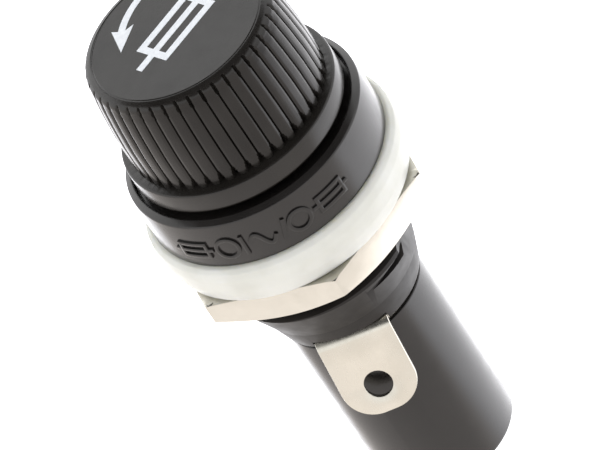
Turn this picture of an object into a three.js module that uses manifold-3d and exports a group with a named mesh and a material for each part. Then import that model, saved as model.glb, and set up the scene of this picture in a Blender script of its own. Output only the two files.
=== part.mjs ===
// Panel-mount holder for a 6.3 x 30 mm glass cartridge fuse, with a bayonet cap.
//
// Millimetres. The origin is on the holder's axis at the underside of the flange, which is the
// face that seats on the panel. +Z runs along the axis towards the cap. Angles round the axis are
// azimuths in degrees: 0 is -Y, 90 is +X, and they grow counter-clockwise as seen from the cap.

import * as THREE from 'three';
import { mergeGeometries, mergeVertices } from 'three/addons/utils/BufferGeometryUtils.js';
import Module from 'manifold-3d';

const wasm = await Module();
wasm.setup();

// ---------------------------------------------------------------- driving dimensions

const SIDES = 36;                 // facets round a large turned piece
const FINE_SIDES = 24;            // facets round a small turned piece

const FLANGE_RADIUS = 9.8;
const FLANGE_TOP_RADIUS = 9.66;
const FLANGE_HEIGHT = 4.28;
const RECESS_RADIUS = 9.08;       // the flange's top is hollowed inside this radius
const RECESS_RIM_Z = 4.64;
const RECESS_FLOOR_Z = 3.9;

const THREAD_RADIUS = 8.0;        // M16 x 1.5, right hand
const THREAD_ROOT_RADIUS = 7.1;
const THREAD_PITCH = 1.5;
const THREAD_END_Z = -8.57;       // the neck starts to taper here
const THREAD_TOP_Z = -0.75;
const THREAD_GROOVE_Z = -9.25;    // middle of the lowest groove, at azimuth 0
const THREAD_STEPS_PER_TURN = 20;
const THREAD_ROOT_HALF_WIDTH = 0.62;
const THREAD_CREST_HALF_WIDTH = 0.18;
const THREAD_CLEARANCE = 0.13;
const RUN_OUT_START = -5;         // azimuth at which the lowest groove fades in from nothing
const RUN_OUT_ANGLE = 39;         // degrees that it takes to reach its full depth
const FLAT_DISTANCE = 6.5;        // from the axis to the flat that stops the neck turning
const FLAT_AZIMUTH = 70;
const NECK_TAPER_RADIUS = 6.64;
const NECK_TAPER_Z = -11.67;
const COLLAR_RADIUS = 5.98;
const NECK_END_Z = -13.83;

const BARREL_RADIUS = 5.75;
const BARREL_TOP_Z = -14.3;
const BARREL_END_Z = -31.3;
const BARREL_FLOOR_Z = -28.5;
const RIVET_BORE = 1.05;          // hole for the end rivet, through barrel, cup and lug
const SLEEVE_BORE = 5.0;
const FUSE_BORE = 3.85;

const STRIP_THICKNESS = 0.42;     // both terminals are cut from the same strip
const STRIP_WIDTH = 6.0;
const TAB_CORNER = 2.5;
const TAB_HOLE_RADIUS = 1.1;
const TAB_HOLE_FROM_END = 2.42;
const TAB_RING_RADIUS = 5.5;      // the ring that the side tab grows from
const SIDE_TAB_AZIMUTH = -18;
const SIDE_TAB_TILT = 17;         // degrees that the side tab leans away from the barrel
const SIDE_TAB_LENGTH = 6.5;      // from the end of the bend
const SIDE_TAB_TOP_Z = -13.05;
const SIDE_TAB_OFFSET = 5.975;    // from the axis to the outside of a bend of 90 degrees
const SIDE_TAB_BEND = 0.88;       // inner radius of the bend
const SLOT_GAP = 0.06;            // round the tab where it leaves the moulding
const END_LUG_LENGTH = 9.2;
const END_LUG_OFFSET = 3.5;       // from the axis to the outer face of the bent leg
const END_LUG_BEND = 0.35;        // inner radius of the bend

const LIP_BORE = 5.25;            // bore that the cap's stem slides in
const LIP_UNDERSIDE_Z = 2.2;
const POCKET_RADIUS = 6.15;
const POCKET_FLOOR_Z = -0.4;
const LUG_RADIUS = 5.9;
const LUG_BOTTOM_Z = 0.7;
const LUG_TOP_Z = 1.9;
const LUG_HALF_ANGLE = 14;
const ENTRY_HALF_ANGLE = 17;
const LOCK_TURN = 60;             // the cap locks by turning this far clockwise
const LUG_AZIMUTHS = [40, 220];

const CAP_TOP_Z = 15.35;
const CAP_FACE_RADIUS = 6.95;
const RIB_COUNT = 46;
const RIB_TOP_RADIUS = 7.65;
const RIB_TOP_Z = 14.45;
const RIB_BOTTOM_RADIUS = 8.11;
const RIB_BOTTOM_Z = 6.95;
const GROOVE_DEPTH = 0.38;
const GROOVE_WIDTH = 0.34;
const SKIRT_RADIUS = 8.855;
const SKIRT_BOTTOM_Z = 4.95;
const STEM_RADIUS = 5.0;
const STEM_BORE = 4.15;
const STEM_END_Z = -3.0;
const SOCKET_Z = 12.3;            // underside of the boss that the guide pin snaps into

const FUSE_RADIUS = 3.15;
const FUSE_REAR_Z = -27.5;
const FUSE_LENGTH = 30;
const FUSE_FRONT_Z = FUSE_REAR_Z + FUSE_LENGTH;
const FUSE_CAP_LENGTH = 6;

const CARRIER_RADIUS = 3.7;
const CARRIER_END_Z = -11.5;
const CARRIER_WALL_Z = 4.3;       // underside of the carrier's end wall
const CARRIER_TOP_Z = 4.8;
const PIN_RADIUS = 0.9;
const SPRING_RADIUS = 3.1;
const SPRING_WIRE = 0.35;
const SPRING_COILS = 5;

const WASHER_RADIUS = 10.45;
const WASHER_BOTTOM_Z = -3.8;
const SEAT_GAP = 0.02;            // left between faces that seat on one another
const NUT_TOP_Z = WASHER_BOTTOM_Z - SEAT_GAP;
const NUT_HEIGHT = 2.6;
const NUT_ACROSS_FLATS = 18.8;
const NUT_CORNER_AZIMUTH = -3;
const NUT_BORE = 7.25;
const NUT_CHAMFER = 1.05;         // height of the slope round the nut's lower corners

// ---------------------------------------------------------------- materials

function finish(color, roughness, metalness, opacity = 1) {
  return new THREE.MeshStandardMaterial({
    color, roughness, metalness, opacity, transparent: opacity < 1,
  });
}

const BLACK_PHENOLIC = finish(0x1b1a1a, 0.38, 0);
const BLACK_CAP = finish(0x252322, 0.45, 0);
const NICKEL = finish(0xd9d3c6, 0.28, 1);
const BRIGHT_NICKEL = finish(0xece6dc, 0.2, 1);
const BRASS = finish(0xc9a75a, 0.3, 1);
const SPRING_STEEL = finish(0xb9bcc0, 0.3, 1);
const MILKY_NYLON = finish(0xecece2, 0.4, 0, 0.9);
const FUSE_GLASS = finish(0xe6f0f0, 0.05, 0, 0.35);
const SOLDER = finish(0x9a9a98, 0.45, 1);

// ---------------------------------------------------------------- solids and meshes

const radians = THREE.MathUtils.degToRad;

function signedVolume(position, index) {
  const a = new THREE.Vector3();
  const b = new THREE.Vector3();
  const c = new THREE.Vector3();
  let sum = 0;
  for (let i = 0; i < index.length; i += 3) {
    a.fromBufferAttribute(position, index[i]);
    b.fromBufferAttribute(position, index[i + 1]);
    c.fromBufferAttribute(position, index[i + 2]);
    sum += a.dot(b.cross(c)) / 6;
  }
  return sum;
}

// A closed solid from any three.js geometry: vertices merged, slivers dropped, faces turned out.
function solid(geometry) {
  const bare = geometry.clone();
  bare.deleteAttribute('normal');
  bare.deleteAttribute('uv');
  const merged = mergeVertices(bare, 1e-4);
  const kept = [];
  for (let i = 0; i < merged.index.count; i += 3) {
    const [a, b, c] = [0, 1, 2].map((k) => merged.index.getX(i + k));
    if (a !== b && b !== c && c !== a) kept.push(a, b, c);
  }
  if (signedVolume(merged.attributes.position, kept) < 0) kept.reverse();
  return new wasm.Manifold(new wasm.Mesh({
    numProp: 3,
    vertProperties: new Float32Array(merged.attributes.position.array),
    triVerts: new Uint32Array(kept),
  }));
}

function geometryOf(body) {
  const mesh = body.getMesh();
  const geometry = new THREE.BufferGeometry();
  geometry.setAttribute('position', new THREE.BufferAttribute(mesh.vertProperties, 3));
  geometry.setIndex(new THREE.BufferAttribute(mesh.triVerts, 1));
  geometry.computeVertexNormals();
  return geometry;
}

// A piece turned about Z. Each profile point is [radius, z]; a ring's profile is closed here.
function turned(profile, sides = SIDES, startAzimuth = 0) {
  const points = profile.map(([r, z]) => new THREE.Vector2(r, z));
  const onAxis = profile[0][0] === 0 && profile[profile.length - 1][0] === 0;
  if (!onAxis) points.push(points[0].clone());
  const lathe = new THREE.LatheGeometry(points, sides, radians(startAzimuth));
  return solid(lathe.rotateX(Math.PI / 2));
}

function tube(inner, outer, bottom, top, sides = SIDES) {
  return turned([[inner, bottom], [outer, bottom], [outer, top], [inner, top]], sides);
}

function rod(radius, bottom, top, sides = FINE_SIDES) {
  return turned([[0, bottom], [radius, bottom], [radius, top], [0, top]], sides);
}

// A block standing on z = bottom, whose length runs outwards from the axis at an azimuth.
function radialBlock(azimuth, from, to, width, bottom, top) {
  const box = new THREE.BoxGeometry(width, to - from, top - bottom);
  box.translate(0, -(from + to) / 2, (top + bottom) / 2);
  return solid(box.rotateZ(radians(azimuth)));
}

// A slice of a ring between two azimuths.
function sector(inner, outer, fromAzimuth, toAzimuth, bottom, top) {
  const start = radians(fromAzimuth - 90);
  const end = radians(toAzimuth - 90);
  const outline = new THREE.Shape();
  outline.absarc(0, 0, outer, start, end, false);
  outline.absarc(0, 0, inner, end, start, true);
  const slice = new THREE.ExtrudeGeometry(outline, {
    depth: top - bottom, bevelEnabled: false, curveSegments: 8,
  });
  return solid(slice.translate(0, 0, bottom));
}

function addAll(bodies) {
  return bodies.reduce((sum, body) => sum.add(body));
}

function cutAll(body, cutters) {
  return cutters.reduce((rest, cutter) => rest.subtract(cutter), body);
}

function radialCuts(count, width, reach, bottom, top, firstAzimuth = 0) {
  return Array.from({ length: count }, (_, i) => (
    radialBlock(firstAzimuth + (i * 360) / count, 0.5, reach, width, bottom, top)
  ));
}

// ---------------------------------------------------------------- screw thread

// A right-hand helix at the thread's root, whose cross-section stays square to the axis: x outwards
// and y along Z. It starts lifted outwards by fadeIn, and comes down over RUN_OUT_ANGLE.
class ThreadHelix extends THREE.Curve {
  constructor(startAzimuth, startZ, turns, fadeIn) {
    super();
    Object.assign(this, { startAzimuth, startZ, turns, fadeIn });
  }

  getPoint(t, target = new THREE.Vector3()) {
    const swept = t * this.turns * 360;
    const angle = radians(this.startAzimuth + swept);
    const radius = THREAD_ROOT_RADIUS + this.fadeIn * Math.max(0, 1 - swept / RUN_OUT_ANGLE);
    const z = this.startZ + t * this.turns * THREAD_PITCH;
    return target.set(radius * Math.sin(angle), -radius * Math.cos(angle), z);
  }

  getPointAt(t, target) {
    return this.getPoint(t, target);
  }

  computeFrenetFrames(steps) {
    const frames = { tangents: [], normals: [], binormals: [] };
    for (let i = 0; i <= steps; i += 1) {
      const angle = radians(this.startAzimuth + (i / steps) * this.turns * 360);
      frames.normals.push(new THREE.Vector3(Math.sin(angle), -Math.cos(angle), 0));
      frames.binormals.push(new THREE.Vector3(0, 0, 1));
      frames.tangents.push(new THREE.Vector3(Math.cos(angle), Math.sin(angle), 0));
    }
    return frames;
  }
}

// A trapezoid swept along the thread, its half-width changing evenly from inside to outside.
function threadSweep(path, inside, outside, insideHalf, outsideHalf) {
  const section = new THREE.Shape([
    new THREE.Vector2(inside, -insideHalf),
    new THREE.Vector2(outside, -outsideHalf),
    new THREE.Vector2(outside, outsideHalf),
    new THREE.Vector2(inside, insideHalf),
  ]);
  return solid(new THREE.ExtrudeGeometry(section, {
    steps: Math.round(path.turns * THREAD_STEPS_PER_TURN), extrudePath: path, bevelEnabled: false,
  }));
}

// What is cut from the neck. Its lowest turn fades out at RUN_OUT_START.
function threadGroove() {
  const depth = THREAD_RADIUS - THREAD_ROOT_RADIUS;
  const reach = depth + 0.3;
  const rootHalf = THREAD_PITCH / 2 - THREAD_ROOT_HALF_WIDTH;
  const slope = (THREAD_ROOT_HALF_WIDTH - THREAD_CREST_HALF_WIDTH) / depth;
  const startZ = THREAD_GROOVE_Z + (THREAD_PITCH * RUN_OUT_START) / 360;
  const turns = (THREAD_TOP_Z - startZ) / THREAD_PITCH;
  const path = new ThreadHelix(RUN_OUT_START, startZ, turns, depth + 0.05);
  return threadSweep(path, 0, reach, rootHalf, rootHalf + slope * reach);
}

// What is cut from the nut: the neck's ridge, fatter by the clearance.
function threadRidge() {
  const buried = 0.25;
  const depth = THREAD_RADIUS - THREAD_ROOT_RADIUS + THREAD_CLEARANCE;
  const foot = THREAD_ROOT_HALF_WIDTH + THREAD_CLEARANCE * 0.9;
  const crest = THREAD_CREST_HALF_WIDTH + THREAD_CLEARANCE * 0.5;
  const path = new ThreadHelix(0, THREAD_GROOVE_Z + THREAD_PITCH / 2, 5, 0);
  return threadSweep(path, -buried, depth, foot, crest);
}

// ---------------------------------------------------------------- moulded body

function bayonetCuts() {
  return LUG_AZIMUTHS.flatMap((azimuth) => {
    const entryStart = azimuth - ENTRY_HALF_ANGLE;
    const entryEnd = azimuth + ENTRY_HALF_ANGLE;
    const top = RECESS_FLOOR_Z + 1;
    return [
      sector(LIP_BORE - 0.5, POCKET_RADIUS, entryStart, entryEnd, LIP_UNDERSIDE_Z - 0.5, top),
      sector(LIP_BORE - 0.5, POCKET_RADIUS, entryStart - LOCK_TURN, entryEnd,
        POCKET_FLOOR_Z, LIP_UNDERSIDE_Z),
    ];
  });
}

function neckBody() {
  const shell = turned([
    [LIP_BORE, -4], [SLEEVE_BORE, -4], [SLEEVE_BORE, NECK_END_Z], [COLLAR_RADIUS, NECK_END_Z],
    [NECK_TAPER_RADIUS, NECK_TAPER_Z], [THREAD_RADIUS, THREAD_END_Z], [THREAD_RADIUS, 0],
    [FLANGE_RADIUS - 0.15, 0], [FLANGE_RADIUS, 0.2], [FLANGE_TOP_RADIUS, FLANGE_HEIGHT],
    [RECESS_RADIUS, RECESS_RIM_Z], [RECESS_RADIUS - 0.1, RECESS_FLOOR_Z],
    [LIP_BORE, RECESS_FLOOR_Z],
  ]);
  const flat = radialBlock(FLAT_AZIMUTH, FLAT_DISTANCE, 12, 24, NECK_END_Z + 0.5, 0);
  const slot = radialBlock(SIDE_TAB_AZIMUTH, 3, 9, STRIP_WIDTH + 2 * SLOT_GAP, NECK_END_Z - 1,
    SIDE_TAB_TOP_Z + SLOT_GAP);
  return cutAll(shell, [threadGroove(), flat, slot, ...bayonetCuts()]);
}

// Room behind the side tab, where it crosses the barrel's wall.
function tabClearance() {
  const depth = STRIP_THICKNESS + SLOT_GAP;
  const room = new THREE.BoxGeometry(STRIP_WIDTH + 2 * SLOT_GAP, 6, 3);
  room.translate(0, -2, 1.5 - depth);
  const bend = bentRoot(0, SIDE_TAB_OFFSET, SIDE_TAB_TOP_Z, 90 - SIDE_TAB_TILT, SIDE_TAB_BEND);
  room.rotateX(radians(90 - SIDE_TAB_TILT));
  room.translate(0, -bend.start.x, bend.start.y);
  return solid(room.rotateZ(radians(SIDE_TAB_AZIMUTH)));
}

function rearBarrel() {
  return turned([
    [RIVET_BORE, BARREL_FLOOR_Z], [RIVET_BORE, BARREL_END_Z], [BARREL_RADIUS - 0.5, BARREL_END_Z],
    [BARREL_RADIUS - 0.15, BARREL_END_Z + 0.15], [BARREL_RADIUS, BARREL_END_Z + 0.5],
    [BARREL_RADIUS, BARREL_TOP_Z], [SLEEVE_BORE, BARREL_TOP_Z], [SLEEVE_BORE, -18.6],
    [FUSE_BORE, -19.7], [FUSE_BORE, BARREL_FLOOR_Z],
  ]).subtract(tabClearance());
}

// ---------------------------------------------------------------- terminals and contacts

// A flat tab with a rounded end and a solder hole, lying in XY and growing towards -Y.
function tabPlate(length) {
  const half = STRIP_WIDTH / 2;
  const outline = new THREE.Shape();
  outline.moveTo(-half, 0);
  outline.lineTo(-half, -(length - TAB_CORNER));
  outline.absarc(-half + TAB_CORNER, -(length - TAB_CORNER), TAB_CORNER, Math.PI, 1.5 * Math.PI);
  outline.absarc(half - TAB_CORNER, -(length - TAB_CORNER), TAB_CORNER, 1.5 * Math.PI, 2 * Math.PI);
  outline.lineTo(half, 0);
  const hole = new THREE.Path();
  hole.absarc(0, -(length - TAB_HOLE_FROM_END), TAB_HOLE_RADIUS, 0, 2 * Math.PI, true);
  outline.holes.push(hole);
  return new THREE.ExtrudeGeometry(outline, {
    depth: STRIP_THICKNESS, bevelEnabled: false, curveSegments: 7,
  });
}

// The strip's root, from the ring out to the bend, and round the bend by the given angle.
// The profile is drawn with x outwards and y up, then pulled along the width of the strip.
function bentRoot(from, bendAt, topZ, bendDegrees, inside) {
  const outside = inside + STRIP_THICKNESS;
  const centre = new THREE.Vector2(bendAt - outside, topZ - outside);
  const end = radians(90 - bendDegrees);
  const profile = new THREE.Shape();
  profile.moveTo(from, topZ);
  profile.absarc(centre.x, centre.y, outside, Math.PI / 2, end, true);
  profile.absarc(centre.x, centre.y, inside, end, Math.PI / 2, false);
  profile.lineTo(from, topZ - STRIP_THICKNESS);
  const strip = new THREE.ExtrudeGeometry(profile, {
    depth: STRIP_WIDTH, bevelEnabled: false, curveSegments: 6,
  });
  strip.translate(0, 0, -STRIP_WIDTH / 2);
  strip.rotateX(Math.PI / 2);
  const body = solid(strip.rotateZ(-Math.PI / 2));
  const start = new THREE.Vector2(Math.cos(end), Math.sin(end)).multiplyScalar(outside).add(centre);
  return { body, start };
}

// A bent tab whose root leaves the axis along -Y; it is turned to its azimuth afterwards.
function bentTab(from, bendAt, topZ, bendDegrees, inside, length) {
  const root = bentRoot(from, bendAt, topZ, bendDegrees, inside);
  const plate = tabPlate(length);
  plate.translate(0, 0.05, -STRIP_THICKNESS);
  plate.rotateX(radians(bendDegrees));
  plate.translate(0, -root.start.x, root.start.y);
  return root.body.add(solid(plate));
}

function spun(body, azimuth) {
  return solid(geometryOf(body).rotateZ(radians(azimuth)));
}

// A ring round the contact sleeve, with a wall that rises from it to the root of the tab.
function sideTerminal() {
  const ringTop = NECK_END_Z - SEAT_GAP;
  const bore = SLEEVE_BORE + 0.02;
  const ring = tube(bore, TAB_RING_RADIUS, ringTop - STRIP_THICKNESS, ringTop);
  const wall = sector(bore, TAB_RING_RADIUS, SIDE_TAB_AZIMUTH - 30, SIDE_TAB_AZIMUTH + 30,
    ringTop - 0.1, SIDE_TAB_TOP_Z - STRIP_THICKNESS / 2);
  const tab = bentTab(4, SIDE_TAB_OFFSET, SIDE_TAB_TOP_Z, 90 - SIDE_TAB_TILT, SIDE_TAB_BEND,
    SIDE_TAB_LENGTH);
  const sleeveRoom = rod(bore, NECK_END_Z - 1, SIDE_TAB_TOP_Z + 1, SIDES);
  return addAll([spun(tab, SIDE_TAB_AZIMUTH).subtract(sleeveRoom), wall, ring]);
}

function endTerminal() {
  const topZ = BARREL_END_Z - SEAT_GAP;
  const leg = bentTab(0, END_LUG_OFFSET, topZ, 90, END_LUG_BEND, END_LUG_LENGTH);
  const pad = rod(STRIP_WIDTH / 2, topZ - STRIP_THICKNESS, topZ);
  const lug = leg.add(pad).subtract(rod(RIVET_BORE, topZ - 1, topZ + 1));
  return spun(lug, SIDE_TAB_AZIMUTH);
}

function contactSleeve() {
  const sleeve = turned([
    [4.55, -18.4], [4.95, -18.4], [4.95, -9.4], [4.32, -6.1], [4.62, -4.9], [4.32, -4.75],
    [3.92, -6.1], [4.55, -9.6],
  ], FINE_SIDES);
  return cutAll(sleeve, radialCuts(6, 0.6, 6, -10.2, -4));
}

function endContactCup() {
  const floor = BARREL_FLOOR_Z + SEAT_GAP;
  return turned([
    [RIVET_BORE, floor], [3.6, floor], [3.6, floor + 2.6], [3.3, floor + 2.6],
    [3.3, floor + 0.5], [RIVET_BORE, floor + 0.5],
  ], FINE_SIDES);
}

function endRivet() {
  const inner = BARREL_FLOOR_Z + 0.54;
  const outer = BARREL_END_Z - STRIP_THICKNESS - 2 * SEAT_GAP;
  return turned([
    [0, outer - 0.6], [1.0, outer - 0.5], [1.6, outer], [0.98, outer], [0.98, inner],
    [1.7, inner], [1.3, inner + 0.34], [0, inner + 0.4],
  ], FINE_SIDES);
}

// ---------------------------------------------------------------- fuse and its carrier

function fuseGlass() {
  return tube(2.55, 3.0, FUSE_REAR_Z + 0.35, FUSE_FRONT_Z - 0.35, FINE_SIDES);
}

// A drawn end cap with its closed end at z = 0 and its mouth at z = FUSE_CAP_LENGTH.
function fuseCap() {
  return turned([
    [0, 0], [FUSE_RADIUS - 0.3, 0], [FUSE_RADIUS, 0.3], [FUSE_RADIUS, FUSE_CAP_LENGTH],
    [3.02, FUSE_CAP_LENGTH], [3.02, 0.3], [0, 0.3],
  ], FINE_SIDES);
}

function solderBead() {
  return turned([[0, 0.32], [1.3, 0.32], [1.0, 1.0], [0.35, 1.3], [0, 1.3]], FINE_SIDES);
}

function fuseWire() {
  return rod(0.16, FUSE_REAR_Z + 1.32, FUSE_FRONT_Z - 1.32, 8);
}

function carrierTube() {
  const shell = turned([
    [3.32, CARRIER_END_Z], [3.62, CARRIER_END_Z], [CARRIER_RADIUS, CARRIER_END_Z + 0.5],
    [CARRIER_RADIUS, CARRIER_TOP_Z - 0.4], [CARRIER_RADIUS - 0.4, CARRIER_TOP_Z],
    [1.1, CARRIER_TOP_Z], [1.1, CARRIER_WALL_Z], [2.3, CARRIER_WALL_Z],
    [2.3, FUSE_FRONT_Z + 0.05], [3.32, FUSE_FRONT_Z + 0.05],
  ], FINE_SIDES);
  return cutAll(shell, radialCuts(4, 1.0, 5, CARRIER_END_Z - 1, -4.5, 45));
}

// ---------------------------------------------------------------- cap, guide pin and spring

function ribGrooves() {
  const length = RIB_TOP_Z - RIB_BOTTOM_Z + 0.15;
  const lean = Math.atan2(RIB_BOTTOM_RADIUS - RIB_TOP_RADIUS, length);
  const section = new THREE.Shape([
    new THREE.Vector2(0, GROOVE_DEPTH),
    new THREE.Vector2(GROOVE_WIDTH, -GROOVE_DEPTH),
    new THREE.Vector2(-GROOVE_WIDTH, -GROOVE_DEPTH),
  ]);
  const groove = new THREE.ExtrudeGeometry(section, { depth: length, bevelEnabled: false });
  groove.rotateX(-lean);
  groove.translate(0, -RIB_BOTTOM_RADIUS, RIB_BOTTOM_Z + 0.1);
  const grooves = Array.from({ length: RIB_COUNT }, (_, i) => (
    groove.clone().rotateZ((i * 2 * Math.PI) / RIB_COUNT)
  ));
  return solid(mergeGeometries(grooves));
}

function capKnob() {
  const outside = [
    [STEM_BORE, STEM_END_Z], [STEM_RADIUS - 0.3, STEM_END_Z], [STEM_RADIUS, STEM_END_Z + 0.4],
    [STEM_RADIUS, 12.9], [6.0, 12.9], [6.2, SKIRT_BOTTOM_Z], [SKIRT_RADIUS - 0.2, SKIRT_BOTTOM_Z],
    [SKIRT_RADIUS, SKIRT_BOTTOM_Z + 0.2], [SKIRT_RADIUS, 6.6], [SKIRT_RADIUS - 0.2, 6.81],
    [RIB_BOTTOM_RADIUS, RIB_BOTTOM_Z], [8.02, 10.7], [7.84, 13.1], [RIB_TOP_RADIUS, RIB_TOP_Z],
    [7.5, 15.0], [7.25, 15.27], [CAP_FACE_RADIUS, CAP_TOP_Z],
  ];
  const socket = [[0, 13.45], [2.6, 13.45], [2.6, 12.75], [1.3, 12.75], [1.3, SOCKET_Z]];
  const moulding = turned([
    ...socket, [STEM_BORE, SOCKET_Z], ...outside, [0, CAP_TOP_Z],
  ], RIB_COUNT);
  const lugs = LUG_AZIMUTHS.map((azimuth) => (
    sector(STEM_RADIUS - 0.4, LUG_RADIUS, azimuth - LUG_HALF_ANGLE, azimuth + LUG_HALF_ANGLE,
      LUG_BOTTOM_Z, LUG_TOP_Z)
  ));
  return addAll([moulding, ...lugs]).subtract(ribGrooves());
}

function guidePin() {
  return turned([
    [0, 3.65], [PIN_RADIUS, 3.65], [PIN_RADIUS, 12.85], [2.3, 12.85], [2.3, 13.35], [0, 13.35],
  ], FINE_SIDES);
}

function pinRetainer() {
  return tube(PIN_RADIUS + 0.05, 1.75, 3.7, 4.2, FINE_SIDES);
}

class SpringHelix extends THREE.Curve {
  constructor(radius, bottom, top, coils) {
    super();
    Object.assign(this, { radius, bottom, top, coils });
  }

  getPoint(t, target = new THREE.Vector3()) {
    const angle = t * this.coils * 2 * Math.PI;
    const z = this.bottom + t * (this.top - this.bottom);
    return target.set(this.radius * Math.cos(angle), this.radius * Math.sin(angle), z);
  }
}

function capSpring() {
  const ends = SPRING_WIRE + 0.3;
  const path = new SpringHelix(SPRING_RADIUS, CARRIER_TOP_Z + ends, SOCKET_Z - ends, SPRING_COILS);
  const wire = new THREE.Shape();
  wire.absarc(0, 0, SPRING_WIRE, 0, 2 * Math.PI);
  return solid(new THREE.ExtrudeGeometry(wire, {
    steps: SPRING_COILS * 14, extrudePath: path, bevelEnabled: false, curveSegments: 3,
  }));
}

// ---------------------------------------------------------------- panel washer and nut

function nylonWasher() {
  return turned([
    [8.2, -SEAT_GAP], [10.05, -SEAT_GAP], [10.35, -0.35], [WASHER_RADIUS, -1.1],
    [10.35, -2.4], [10.1, -3.4], [9.75, WASHER_BOTTOM_Z], [8.2, WASHER_BOTTOM_Z],
  ]);
}

function hexNut() {
  const bottom = NUT_TOP_Z - NUT_HEIGHT;
  const apothem = NUT_ACROSS_FLATS / 2;
  const hexagon = turned([
    [0, bottom], [apothem / Math.cos(Math.PI / 6), bottom],
    [apothem / Math.cos(Math.PI / 6), NUT_TOP_Z], [0, NUT_TOP_Z],
  ], 6, NUT_CORNER_AZIMUTH);
  const envelope = turned([
    [0, bottom], [apothem - 0.03, bottom], [apothem + 1.8, bottom + NUT_CHAMFER],
    [apothem + 1.8, NUT_TOP_Z - 0.2], [apothem + 1.2, NUT_TOP_Z], [0, NUT_TOP_Z],
  ]);
  const blank = hexagon.intersect(envelope).subtract(rod(NUT_BORE, bottom - 1, NUT_TOP_Z + 1, SIDES));
  return blank.subtract(threadRidge());
}

// ---------------------------------------------------------------- assembly

const holder = new THREE.Group();

function place(name, body, material) {
  const mesh = new THREE.Mesh(geometryOf(body), material);
  mesh.name = name;
  holder.add(mesh);
  return mesh;
}

place('neck_body', neckBody(), BLACK_PHENOLIC);
place('rear_barrel', rearBarrel(), BLACK_PHENOLIC);
place('side_terminal', sideTerminal(), NICKEL);
place('contact_sleeve', contactSleeve(), BRASS);
place('end_contact_cup', endContactCup(), BRASS);
place('end_terminal', endTerminal(), NICKEL);
place('end_rivet', endRivet(), BRASS);

place('carrier_tube', carrierTube(), BRIGHT_NICKEL);
place('fuse_glass', fuseGlass(), FUSE_GLASS);
place('fuse_cap_rear', fuseCap(), BRIGHT_NICKEL).position.z = FUSE_REAR_Z;
const frontCap = place('fuse_cap_front', fuseCap(), BRIGHT_NICKEL);
frontCap.position.z = FUSE_FRONT_Z;
frontCap.rotation.x = Math.PI;
place('solder_bead_rear', solderBead(), SOLDER).position.z = FUSE_REAR_Z;
const frontBead = place('solder_bead_front', solderBead(), SOLDER);
frontBead.position.z = FUSE_FRONT_Z;
frontBead.rotation.x = Math.PI;
place('fuse_wire', fuseWire(), SOLDER);

place('guide_pin', guidePin(), BRASS);
place('pin_retainer', pinRetainer(), BRASS);
place('cap_spring', capSpring(), SPRING_STEEL);
place('cap_knob', capKnob(), BLACK_CAP);

place('nylon_washer', nylonWasher(), MILKY_NYLON);
place('hex_nut', hexNut(), BRIGHT_NICKEL);

export default holder;
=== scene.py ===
"""The looks of a panel-mount cartridge fuse holder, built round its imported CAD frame."""

import math

import bmesh
import bpy
from mathutils import Matrix, Vector
from mathutils.geometry import delaunay_2d_cdt


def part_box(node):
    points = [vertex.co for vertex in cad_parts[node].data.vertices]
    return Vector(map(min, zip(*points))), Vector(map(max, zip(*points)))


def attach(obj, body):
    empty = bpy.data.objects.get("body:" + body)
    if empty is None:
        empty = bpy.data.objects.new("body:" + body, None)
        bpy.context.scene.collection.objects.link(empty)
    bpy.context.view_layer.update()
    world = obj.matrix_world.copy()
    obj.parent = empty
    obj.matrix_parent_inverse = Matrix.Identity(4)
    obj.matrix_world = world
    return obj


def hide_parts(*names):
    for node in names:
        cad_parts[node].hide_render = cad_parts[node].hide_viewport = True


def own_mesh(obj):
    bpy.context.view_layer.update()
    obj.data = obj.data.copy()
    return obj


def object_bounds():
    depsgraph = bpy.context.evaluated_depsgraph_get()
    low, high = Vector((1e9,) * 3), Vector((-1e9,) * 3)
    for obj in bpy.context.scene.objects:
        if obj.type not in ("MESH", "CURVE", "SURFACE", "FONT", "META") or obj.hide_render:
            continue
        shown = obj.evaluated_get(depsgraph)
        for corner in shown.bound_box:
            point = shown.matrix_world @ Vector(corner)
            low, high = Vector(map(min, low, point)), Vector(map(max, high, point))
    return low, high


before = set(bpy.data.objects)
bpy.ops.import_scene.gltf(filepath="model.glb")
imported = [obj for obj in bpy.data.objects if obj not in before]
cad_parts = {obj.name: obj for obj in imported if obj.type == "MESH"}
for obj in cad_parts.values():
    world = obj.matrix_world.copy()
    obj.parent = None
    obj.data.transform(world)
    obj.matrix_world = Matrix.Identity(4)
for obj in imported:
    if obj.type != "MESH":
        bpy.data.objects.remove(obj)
CAD_LOW, CAD_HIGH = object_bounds()

MM = 0.001
TAU = 2 * math.pi
TINY = 1e-9
UP_MM = Vector((0, 0, MM))
ROUND = 192                     # facets round a large turned piece
SMALL_ROUND = 96                # facets round a small turned piece
SHARP = math.radians(32)        # edges that bend by more than this are shown sharp
ON_AXIS = 1e-6                  # a smaller radius than this, in millimetres, is on the axis
WELD = 1e-7                     # vertices closer than this, in metres, become one
NEARLY_STRAIGHT = math.radians(89)      # half the angle of a corner too flat to round


# ---------------------------------------------------------------- sizes taken from the frame

def top(node):
    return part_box(node)[1].z / MM


def bottom(node):
    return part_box(node)[0].z / MM


def radius(node):
    low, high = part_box(node)
    return (high.x - low.x) / 2 / MM


# ---------------------------------------------------------------- meshes

def azimuth_point(r, azimuth, z):
    """A point at an azimuth in degrees, where 0 is -Y and 90 is +X; r and z in millimetres."""
    a = math.radians(azimuth)
    return Vector((r * math.sin(a), -r * math.cos(a), z)) * MM


def add_object(name, data):
    item = bpy.data.objects.new(name, data)
    bpy.context.scene.collection.objects.link(item)
    return item


def shade(mesh):
    """Smooth shading, with the sharp edges kept sharp."""
    mesh.shade_smooth()
    mesh.set_sharp_from_angle(angle=SHARP)


def make_object(name, verts, faces):
    """A piece from vertices in metres and faces."""
    mesh = bpy.data.meshes.new(name)
    mesh.from_pydata(verts, [], faces)
    return finish_mesh(name, mesh)


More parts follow.
